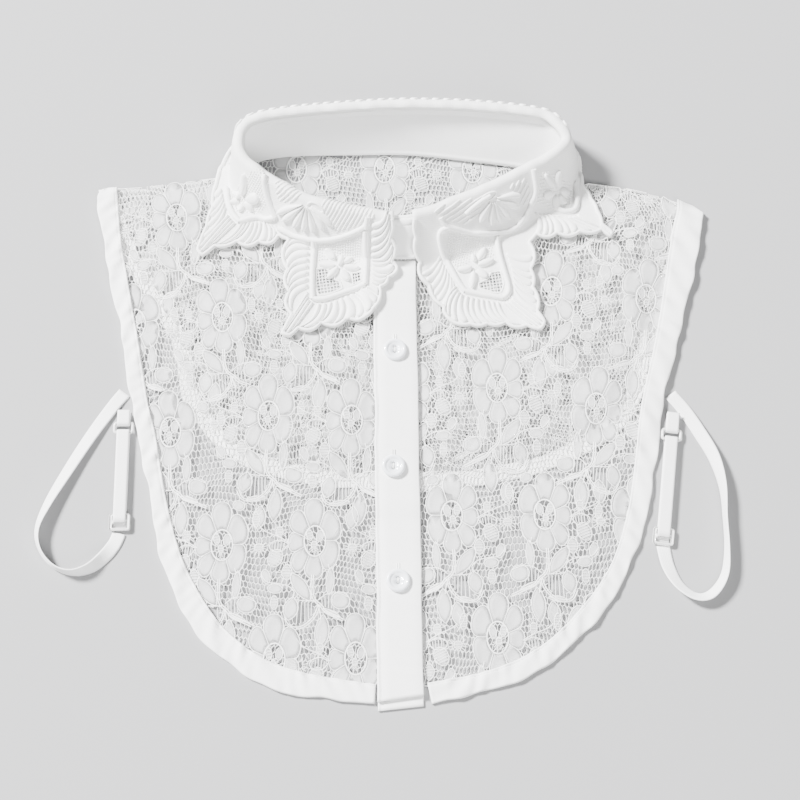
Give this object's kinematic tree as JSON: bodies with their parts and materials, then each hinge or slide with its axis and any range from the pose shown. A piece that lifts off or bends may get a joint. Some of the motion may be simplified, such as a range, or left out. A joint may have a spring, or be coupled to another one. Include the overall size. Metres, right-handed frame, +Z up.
{
  "type": "lace collar",
  "caption": "Detachable sleeveless lace shirt front and back with a fold-over embroidered collar, button placket and adjustable side straps, laid flat.",
  "frame": {"origin": "on the surface the collar lies on, under the flat back panel, on the middle line of the garment", "axes": "+X to the right as seen from above with the neck at the far side, +Y towards the neck, +Z up off the surface"},
  "size_m": [0.3382, 0.3178, 0.0266],
  "materials": {
    "lace": "white openwork lace",
    "cotton": "plain white cotton poplin",
    "embroidery": "white corded guipure embroidery",
    "elastic": "white woven elastic",
    "button": "pearly white",
    "slider": "milky clear"
  },
  "bodies": {
    "root": {"back_panel": "lace", "back_binding": "cotton", "front_left_panel": "lace", "front_left_binding": "cotton", "front_right_panel": "lace", "front_right_binding": "cotton", "placket": "cotton", "under_placket": "cotton", "button_top": "button", "button_middle": "button", "button_low": "button", "collar_stand": "cotton", "collar_leaf": "embroidery", "strap_left": "elastic", "strap_right": "elastic", "strap_left_doubled": "elastic", "strap_right_doubled": "elastic", "tab_left": "elastic", "tab_right": "elastic", "slider_left": "slider", "slider_right": "slider", "link_left": "slider", "link_right": "slider"}
  },
  "joints": []
}
